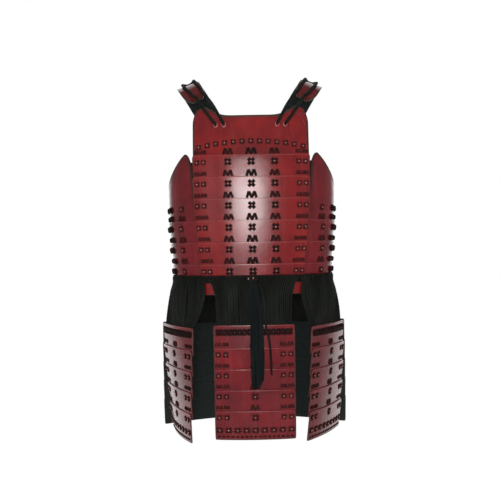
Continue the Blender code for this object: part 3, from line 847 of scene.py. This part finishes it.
def lace_tasset(lacing, row):
    """A tasset's top band, its columns, its row of studs and the stitches along its foot."""
    name = row["name"]
    top = top_of(f"tasset_{name}_lame_1")
    height = tasset_height(name)
    reddened = FRONT_TASSET_DYE if name == "front" else OTHER_TASSET_DYE

    def add(kind, across, below, *sizes, dyed=reddened, **more):
        point, outwards = tasset_spot(row, across, below)
        lacing.add(kind, point, outwards, *sizes, dyed=dyed, **more)

    for across in evenly(BAND_CROSSES, BAND_SPAN):
        add("cross", across, BAND_BELOW_TOP, *BAND_SIZES, stud_size=0, dyed=0.0)
    for number in range(2, TASSET_LAMES + 1):
        lame_top = top - top_of(f"tasset_{name}_lame_{number}")
        for across in TASSET_COLUMNS:
            cross_size, zigzag_size = OUTER_SIZES if across else TASSET_MIDDLE_SIZES
            add("cross", across, lame_top + TASSET_CROSS_BELOW, cross_size, stud_size=TASSET_STUD)
            add("zigzag", across, lame_top - TASSET_ZIGZAG_ABOVE, zigzag_size)
    for across in evenly(FOOT_CROSSES, FOOT_SPAN):
        add("cross", across, height - FOOT_CROSS_ABOVE, *FOOT_SIZES, stud_size=SMALL_STUD)
    for across in evenly(FOOT_STITCHES, STITCH_SPAN):
        add("stitch", across, height - STITCH_ABOVE)


# Cords

def smooth_route(points, count):
    """Points evenly spread along a Catmull-Rom curve through the given ones."""
    points = [Vector(point) for point in points]
    ends = [2 * points[0] - points[1]] + points + [2 * points[-1] - points[-2]]
    fine = []
    for a, b, c, d in zip(ends, ends[1:], ends[2:], ends[3:]):
        for step in range(FINE_STEPS):
            t = step / FINE_STEPS
            square = 2 * a - 5 * b + 4 * c - d
            cubic = 3 * b - a - 3 * c + d
            fine.append(0.5 * (2 * b + (c - a) * t + square * t ** 2 + cubic * t ** 3))
    fine.append(points[-1])
    lengths = [0.0]
    for a, b in zip(fine, fine[1:]):
        lengths.append(lengths[-1] + (b - a).length)
    line = []
    spot = 1
    for i in range(count):
        wanted = lengths[-1] * i / (count - 1)
        while spot < len(fine) - 1 and lengths[spot] < wanted:
            spot += 1
        share = (wanted - lengths[spot - 1]) / (lengths[spot] - lengths[spot - 1])
        line.append(fine[spot - 1].lerp(fine[spot], min(max(share, 0), 1)))
    return line


def cord_curve(name, routes, diameters, closed, sides, top):
    """A curve object with one round spline for each route, its top end thinned to a share."""
    curve = bpy.data.curves.new(name, "CURVE")
    curve.dimensions = "3D"
    curve.bevel_depth = 1.0
    curve.bevel_resolution = sides
    curve.use_fill_caps = not closed
    for route, diameter in zip(routes, diameters):
        spline = curve.splines.new("POLY")
        spline.points.add(len(route) - 1)
        spline.use_cyclic_u = closed
        for number, (point, place) in enumerate(zip(spline.points, route)):
            point.co = (*place, 1)
            fuller = min(number / (len(route) * STRAND_FULL_AT), 1)
            point.radius = diameter / 2 * (top + (1 - top) * fuller)
    piece = bpy.data.objects.new(name, curve)
    bpy.context.collection.objects.link(piece)
    return piece


def measure_cord(data, routes):
    """Writes each vertex's distance along its cord, and its turn round it."""
    along = data.attributes.new("along", "FLOAT", "POINT")
    around = data.attributes.new("around", "FLOAT", "POINT")
    per_cord = len(data.vertices) // len(routes)
    for number, route in enumerate(routes):
        per_ring = per_cord // len(route)
        length = 0.0
        for ring, place in enumerate(route):
            if ring:
                length += (place - route[ring - 1]).length
            for k in range(per_ring):
                vertex = number * per_cord + ring * per_ring + k
                along.data[vertex].value = length
                around.data[vertex].value = abs(2 * k / per_ring - 1)


def cord_mesh(name, routes, diameters, finish, closed=False, sides=2, top=1.0):
    """Round cords as one mesh, which rides and has its finish."""
    piece = cord_curve(name, routes, diameters, closed, sides, top)
    select_only(piece)
    bpy.ops.object.convert(target="MESH")
    piece = bpy.context.active_object
    piece.name = name
    measure_cord(piece.data, routes)
    piece.data.materials.append(finish)
    bpy.ops.object.shade_smooth()
    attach(piece, "root")
    return piece


def merged_mesh(name):
    """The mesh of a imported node, its doubles merged."""
    mesh = bmesh.new()
    mesh.from_mesh(nodes[name].data)
    bmesh.ops.remove_doubles(mesh, verts=mesh.verts, dist=DOUBLES)
    return mesh


def node_rows(name):
    """The middle of a hanger's wall: for each of its levels, a row of points round the armour."""
    mesh = merged_mesh(name)
    levels = {}
    for vertex in mesh.verts:
        levels.setdefault(round(vertex.co.z, 4), []).append(vertex.co.copy())
    mesh.free()
    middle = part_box(name)[0].lerp(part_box(name)[1], 0.5)
    forwards = Matrix.Rotation(-math.atan2(middle.x, -middle.y), 3, "Z")

    def turn_of(point):
        turned = forwards @ point
        return math.atan2(turned.x, -turned.y)

    rows = []
    for level in sorted(levels, reverse=True):
        row = sorted(levels[level], key=turn_of)
        rows.append([a.lerp(b, 0.5) for a, b in zip(row[::2], row[1::2])])
    return rows


def on_row(row, share):
    """The point at a share of a row's way from its first point to its last."""
    spot = share * (len(row) - 1)
    before = min(int(spot), len(row) - 2)
    return row[before].lerp(row[before + 1], spot - before)


def waist_outwards(step):
    turn = 2 * math.pi * step / WAIST_STEPS
    return Vector((math.sin(turn), -math.cos(turn), 0))


def waist_radii(height):
    """How far out the waist's leather reaches at a height, all the way round."""
    radii = []
    for step in range(WAIST_STEPS):
        out = waist_outwards(step)
        hit = WAIST_TREE.ray_cast(out * 0.4 + Vector((0, 0, height)), -out)[0]
        radii.append(math.hypot(hit.x, hit.y))
    wide = [max(three) for three in zip(radii[-1:] + radii[:-1], radii, radii[1:] + radii[:1])]
    return [sum(three) / 3 for three in zip(wide[-1:] + wide[:-1], wide, wide[1:] + wide[:1])]


def level_way(point):
    """The level way out from the armour's middle line through a point."""
    return Vector((point.x, point.y, 0)).normalized()


def beside_leather(point, clearance):
    """The point moved in or out until it lies so far outside the waist's leather."""
    height = round(point.z, 4)
    if height not in WAIST_RADII:
        WAIST_RADII[height] = waist_radii(height)
    radii = WAIST_RADII[height]
    spot = math.atan2(point.x, -point.y) / (2 * math.pi) * WAIST_STEPS
    before = math.floor(spot)
    share = spot - before
    radius = radii[before % WAIST_STEPS] * (1 - share) + radii[(before + 1) % WAIST_STEPS] * share
    return level_way(point) * (radius + clearance) + Vector((0, 0, point.z))


def read_table(places, values, place, ease=False):
    """The value at a place, straight or eased from one of a table's values to the next."""
    for i in range(1, len(places)):
        if place <= places[i]:
            share = (place - places[i - 1]) / (places[i] - places[i - 1])
            if ease:
                share = share * share * (3 - 2 * share)
            return values[i - 1] + (values[i] - values[i - 1]) * share
    return values[-1]


def on_hanger(row, share, edges, fall):
    """A point across a hanger, which is spread or drawn together towards its edges."""
    place = on_row(row, share)
    along = (on_row(row, min(share + 0.1, 1)) - on_row(row, max(share - 0.1, 0))).normalized()
    towards = 2 * share - 1
    edge = edges[1] if towards > 0 else edges[0]
    return place + along * (towards * read_table(HANGER_FALLS, HANGER_SPREAD[edge], fall))


def make_hanger(name, chance):
    """Two layers of cords that carry one tasset: over the waist cord, and down behind its top."""
    rows = node_rows(f"hanger_{name}")
    edges = HANGER_EDGES[name]
    cord_low, cord_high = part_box("waist_cord")
    round_cord = (cord_high.z - cord_low.z) / WAIST_ROUNDS
    routes, diameters = [], []
    last = len(rows) - 1
    for layer, (top_out, foot_out) in enumerate(HANGER_LAYERS):
        for number in range(HANGER_STRANDS - layer):
            share = (number + 0.5 + 0.5 * layer) / HANGER_STRANDS
            sway = chance.uniform(-HANGER_SWAY, HANGER_SWAY)
            loose = chance.uniform(*HANGER_SLACK)
            stops = []
            for level, row in enumerate(rows):
                fall = min(level / (last - 1), 1)
                bend = sway * math.sin(math.pi * level / last)
                point = on_hanger(row, min(max(share + bend, 0.01), 0.99), edges, fall)
                if level:
                    depth = top_out + (foot_out - top_out) * fall * fall
                    depth += loose * math.sin(math.pi * fall)
                    stops.append(point + level_way(point) * depth)
                else:
                    stops.append(beside_leather(point, HANGER_BELOW - HANGER_LAYER_STEP * layer))
            if layer == 0:
                over = on_hanger(rows[0], share, edges, HANGER_FALLS[0])
                over.z = cord_high.z - round_cord
                over = beside_leather(over, round_cord + ON_LEATHER + HANGER_OVER / 2)
                tucked = over + Vector((0, 0, round_cord + HANGER_TOP))
                stops = [beside_leather(tucked, ON_LEATHER + HANGER_TOP), over] + stops
            routes.append(smooth_route(stops, HANGER_POINTS))
            diameters.append(chance.uniform(*HANGER_CORD))
    piece = cord_mesh(f"hanger_{name}_cords", routes, diameters, BLACK_CORD,
                      sides=1, top=STRAND_TOP)
    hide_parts(f"hanger_{name}")


def make_waist_cord():
    """Rounds of cord drawn tight round the leather, one above the other."""
    low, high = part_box("waist_cord")
    diameter = (high.z - low.z) / WAIST_ROUNDS
    routes = []
    for number in range(WAIST_ROUNDS):
        height = Vector((0, 0, low.z + (number + 0.5) * diameter))
        route = []
        for step in range(WAIST_STEPS):
            point = beside_leather(waist_outwards(step) + height, diameter / 2 + ON_LEATHER)
            point.z += WAIST_RIPPLE * math.sin(step * 0.7 + number * 2)
            route.append(point)
        routes.append(route)
    piece = cord_mesh("waist_cord_rounds", routes, [diameter] * WAIST_ROUNDS, BLACK_CORD,
                      closed=True)
    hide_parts("waist_cord")


def make_knot():
    """The tied cord: a three-lobed knot round a wound core."""
    middle = Vector(KNOT_MIDDLE)
    wide = (KNOT_SIZE[0] / 2 - KNOT_INSET[0]) / KNOT_LOBE_REACH
    high = (KNOT_SIZE[2] / 2 - KNOT_INSET[1]) / KNOT_LOBE_REACH
    turns = [2 * math.pi * step / KNOT_STEPS for step in range(KNOT_STEPS)]
    lobes = []
    for turn in turns:
        x = (math.sin(turn) + 2 * math.sin(2 * turn)) * wide
        y = -KNOT_FORWARD - math.sin(3 * turn) * KNOT_WEAVE
        z = (math.cos(turn) - 2 * math.cos(2 * turn)) * high
        lobes.append(middle + Vector((x, y, z)))
    routes = [lobes]
    for number in range(CORE_RINGS):
        ring = []
        for turn in turns:
            x = (number - 1) * CORE_APART + CORE_SLANT * math.sin(turn)
            y, z = CORE_HALF[0] * math.cos(turn), CORE_HALF[1] * math.sin(turn)
            ring.append(middle + Vector((x, y, z)))
        routes.append(ring)
    cord_mesh("waist_knot_cords", routes, [KNOT_CORD] + [CORE_CORD] * CORE_RINGS, BLACK_CORD,
              closed=True)


def make_knot_glint_tip(number, place):
    """A short end of the waist cord, which stands out of the knot; its pale finish is a painted
    highlight for a glint there.
    """
    bpy.ops.object.select_all(action="DESELECT")
    bpy.ops.mesh.primitive_uv_sphere_add(segments=16, ring_count=10, radius=KNOT_TIP)
    glint_tip = bpy.context.active_object
    glint_tip.name = f"waist_knot_tip_{number}"
    reshape(KNOT_TIP_SIZE, place)
    # Pale finish: a painted highlight that stands for a glint at the knot.
    glint_tip.data.materials.append(PALE_STUD_AND_HIGHLIGHT)
    bpy.ops.object.shade_smooth()
    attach(glint_tip, "root")


def make_tassel(chance):
    """The bundle of fine cords that hangs from the knot, in locks that part a little."""
    start = Vector(KNOT_MIDDLE) - Vector((0, 0, KNOT_SIZE[2] * 0.2))
    width, depth, length = TASSEL_SIZE
    lock_radius = width / TASSEL_LOCKS * LOCK_FULLNESS
    routes, diameters = [], []
    for lock in range(TASSEL_LOCKS):
        middle = (lock + 0.5) / TASSEL_LOCKS * 2 - 1
        deep = 0.5 * (-1) ** lock + chance.uniform(-0.25, 0.25)
        phase = chance.uniform(0, 6.28)
        cut = length * (0.965 - 0.025 * middle + chance.uniform(-0.03, 0.03))
        for number in range(TASSEL_STRANDS):
            turn = number * GOLDEN_ANGLE + phase
            ring = math.sqrt((number + 0.5) / TASSEL_STRANDS)
            end = cut * (1 - abs(chance.gauss(0, 0.010)))
            route = []
            for step in range(TASSEL_STEPS + 1):
                share = step / TASSEL_STEPS
                down = end * share
                out, aside, wide = [read_table(TASSEL_FALLS, values, down / length, ease=True)
                                    for values in (TASSEL_OUT, TASSEL_ASIDE, TASSEL_WIDTH)]
                spiral = turn + TASSEL_SPIRAL * share
                part = 0.55 + 0.45 * min(share * 3, 1)
                wave = TASSEL_WAVE * math.sin(share * 7 + phase) * share
                x = start.x + TASSEL_HANGS_ASIDE * aside
                x += (width / 2 - lock_radius) * wide * middle
                x += wave + ring * lock_radius * part * math.cos(spiral)
                y = start.y + (TASSEL_HANGS_AT - start.y) * out
                y += deep * (depth / 2 - lock_radius * 0.6) * part
                y += ring * lock_radius * 0.8 * part * math.sin(spiral)
                route.append(Vector((x, y, start.z - down)))
            routes.append(route)
            diameters.append(chance.uniform(*TASSEL_CORD_SIZES))
    piece = cord_mesh("waist_tassel_strands", routes, diameters, TASSEL_CORD, sides=1)
    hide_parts("waist_knot_tassel")


def make_tail():
    """The free end of the waist cord, which hangs in front of the tasset."""
    route = smooth_route(TAIL_ROUTE, TAIL_POINTS)
    piece = cord_mesh("waist_cord_tail_end", [route], [TAIL_DIAMETER], BLACK_CORD,
                      sides=3)
    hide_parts("waist_cord_tail")


def tube_middle(name):
    """The middle line of a packed cord, found ring by ring from one of its ends."""
    mesh = merged_mesh(name)
    low = min(mesh.verts, key=lambda vertex: (round(vertex.co.z, 3), abs(vertex.co.x)))
    flat = min(low.link_faces, key=lambda face: face.normal.z)
    ring = {vertex for face in mesh.faces if face.normal.dot(flat.normal) > 0.999
            and (face.calc_center_median() - low.co).length < 0.007 for vertex in face.verts}
    seen = set(ring)
    line = [sum((v.co for v in ring), Vector()) / len(ring)]
    while ring := {edge.other_vert(v) for v in ring for edge in v.link_edges} - seen:
        seen |= ring
        line.append(sum((v.co for v in ring), Vector()) / len(ring))
    mesh.free()
    return line


def make_highlight_eyelet(name, tree, lace_end):
    """The pale ring that a shoulder lace goes into; its lower crescent is a painted highlight under
    the lace end.
    """
    place = (lace_end.x, 0, lace_end.z - EYELET_BELOW_LACE)
    seat = seat_on(tree, place, (0, -1, 0), lift=EYELET_LIFT, reach=0.2)
    bpy.ops.object.select_all(action="DESELECT")
    bpy.ops.mesh.primitive_torus_add(major_segments=28, minor_segments=10, major_radius=EYELET,
                                     minor_radius=EYELET_WIRE)
    highlight_eyelet = bpy.context.active_object
    highlight_eyelet.name = name
    reshape(EYELET_SIZE)
    highlight_eyelet.data.transform(seat)
    # Pale finish: a painted highlight under the lace end.
    highlight_eyelet.data.materials.append(PALE_STUD_AND_HIGHLIGHT)
    bpy.ops.object.shade_smooth()
    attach(highlight_eyelet, "root")


# Studio

def glowing_material(name, base, strength):
    """A matt material that gives off white light."""
    material, tree, shader = new_material(name)
    set_inputs(tree, shader, Base_Color=(base, base, base, 1), Roughness=1.0,
               Specular_IOR_Level=0.0, Emission_Color=(1, 1, 1, 1), Emission_Strength=strength)
    return material, tree, shader


def make_backdrop():
    """A round wall about the armour, which glows softly behind it, and wider towards the floor."""
    bpy.ops.mesh.primitive_cylinder_add(vertices=96, radius=BACKDROP, depth=BACKDROP_HIGH,
                                        end_fill_type="NOTHING", location=(0, 0, BACKDROP_MIDDLE))
    backdrop = bpy.context.active_object
    backdrop.name = "studio_backdrop"
    face_inwards()
    bpy.ops.object.transform_apply(location=True)
    material, tree, shader = glowing_material("pale_backdrop", 0.4, WORLD_STRENGTH)
    place = tree.nodes.new("ShaderNodeTexCoord").outputs["Object"]
    split = add_node(tree, "ShaderNodeSeparateXYZ", Vector=place)
    lower = calculate(tree, "SUBTRACT", GLOW_LEANS_FROM, split.outputs["Z"])
    leaning = calculate(tree, "MULTIPLY", calculate(tree, "MAXIMUM", lower, 0.0), GLOW_LEAN)
    reach = calculate(tree, "ADD", split.outputs["Y"], leaning)
    glow = add_node(tree, "ShaderNodeMapRange", Value=reach, From_Min=GLOW_FROM * BACKDROP,
                    From_Max=GLOW_TO * BACKDROP, To_Min=WORLD_STRENGTH, To_Max=GLOW)
    tree.links.new(glow.outputs["Result"], shader.inputs["Emission Strength"])
    backdrop.data.materials.append(material)


def make_surround():
    """A plain white surround that the camera sees; it gives the armour no light."""
    bpy.ops.mesh.primitive_uv_sphere_add(segments=64, ring_count=32, radius=SURROUND)
    surround = bpy.context.active_object
    surround.name = "studio_surround"
    face_inwards()
    bpy.ops.object.shade_smooth()
    surround.data.materials.append(glowing_material("white_surround", 0.0, 1.0)[0])
    surround.visible_diffuse = False
    surround.visible_glossy = False
    surround.visible_transmission = False
    surround.visible_volume_scatter = False
    surround.visible_shadow = False


def make_studio():
    """A wide pale floor, a pale backdrop, and soft lights in front and above."""
    bpy.ops.mesh.primitive_circle_add(vertices=96, radius=FLOOR_RADIUS, fill_type="NGON",
                                      location=(0, 0, FLOOR))
    floor = bpy.context.active_object
    floor.name = "studio_floor"
    material, tree, shader = new_material("pale_floor")
    shade = object_noise(tree, 3, 2.0)
    colour = colour_ramp(tree, shade, [(0.3, (0.90, 0.90, 0.90)), (0.7, (0.93, 0.93, 0.93))])
    set_inputs(tree, shader, Base_Color=colour, Roughness=0.9, Specular_IOR_Level=0.1)
    floor.data.materials.append(material)
    make_backdrop()
    make_surround()

    world = bpy.data.worlds.new("studio_world")
    world.use_nodes = True
    set_inputs(world.node_tree, world.node_tree.nodes["Background"], Color=(1, 1, 1, 1),
               Strength=WORLD_STRENGTH)
    bpy.context.scene.world = world
    for row in LIGHTS:
        data = bpy.data.lights.new(row["name"], "AREA")
        data.shape = "RECTANGLE"
        data.size, data.size_y = row["size"]
        data.energy = row["power"]
        light = bpy.data.objects.new(row["name"], data)
        bpy.context.collection.objects.link(light)
        light.location = row["place"]
        way = Vector(row["aim"]) - Vector(row["place"])
        light.rotation_euler = way.to_track_quat("-Z", "Y").to_euler()
    bpy.context.scene.view_settings.view_transform = "Standard"


add_camera()
make_tail()
make_studio()

FRONT_LEATHER = [
    dress_leather("chest_plate", RED_LEATHER, breadth=PLATE_BREADTH)]
BACK_LEATHER = [
    dress_leather("back_plate", RED_LEATHER, breadth=PLATE_BREADTH)]
for number in range(1, BODY_LAMES + 1):
    for name, leathers in (("front", FRONT_LEATHER), ("back", BACK_LEATHER)):
        leathers.append(dress_lame(f"{name}_lame_{number}", RED_LEATHER))
SIDE_LEATHER = {}
for name in ("left", "right"):
    SIDE_LEATHER[name] = [dress_leather(
        f"{name}_side_plate", DEEP_LEATHER, breadth=SIDE_PLATE_BREADTH)]
    for number in range(1, SIDE_LAMES + 1):
        SIDE_LEATHER[name].append(dress_lame(f"{name}_side_lame_{number}", DEEP_LEATHER))
    dress_leather(f"{name}_shoulder_strap", STRAP_LEATHER)

MOTIFS = {"cross": make_cross(), "zigzag": make_zigzag(),
          "stitch": make_stitch(), "stud": make_stud()}
FRONT_TREE = tree_of(FRONT_LEATHER)
front_lacing = Lacing("front_lacing", FRONT_TREE)
lace_body_side(front_lacing, "front", -1)
lace_chest(front_lacing)
front_lacing.make(MOTIFS)
back_lacing = Lacing("back_lacing", tree_of(BACK_LEATHER))
lace_body_side(back_lacing, "back", 1)
back_lacing.make(MOTIFS)
for name, side in (("left", 1), ("right", -1)):
    side_lacing = Lacing(f"{name}_side_lacing", tree_of(SIDE_LEATHER[name]))
    lace_side(side_lacing, name, side)
    side_lacing.make(MOTIFS)

WAIST_TREE = tree_of(
    FRONT_LEATHER + BACK_LEATHER + SIDE_LEATHER["left"] + SIDE_LEATHER["right"])
WAIST_RADII = {}
draw = random.Random(7)
for row in TASSETS:
    name = row["name"]
    tasset = [dress_lame(f"tasset_{name}_lame_{number}", DEEP_LEATHER)
              for number in range(1, TASSET_LAMES + 1)]
    tasset_lacing = Lacing(f"tasset_{name}_lacing", tree_of(tasset))
    lace_tasset(tasset_lacing, row)
    tasset_lacing.make(MOTIFS)
    make_hanger(name, draw)

make_waist_cord()
make_knot()
for number, tip_place in enumerate(KNOT_TIPS):
    make_knot_glint_tip(number + 1, tip_place)
make_tassel(draw)
for name in ("left", "right"):
    middle_line = tube_middle(f"{name}_shoulder_lace")
    route = smooth_route(middle_line, SHOULDER_LACE_POINTS)
    lace = cord_mesh(f"{name}_shoulder_lace_cord", [route], [SHOULDER_LACE], BLACK_CORD,
                     sides=3)
    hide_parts(f"{name}_shoulder_lace")
    for number, lace_end in enumerate((middle_line[0], middle_line[-1])):
        make_highlight_eyelet(f"{name}_eyelet_{number + 1}", FRONT_TREE, lace_end)
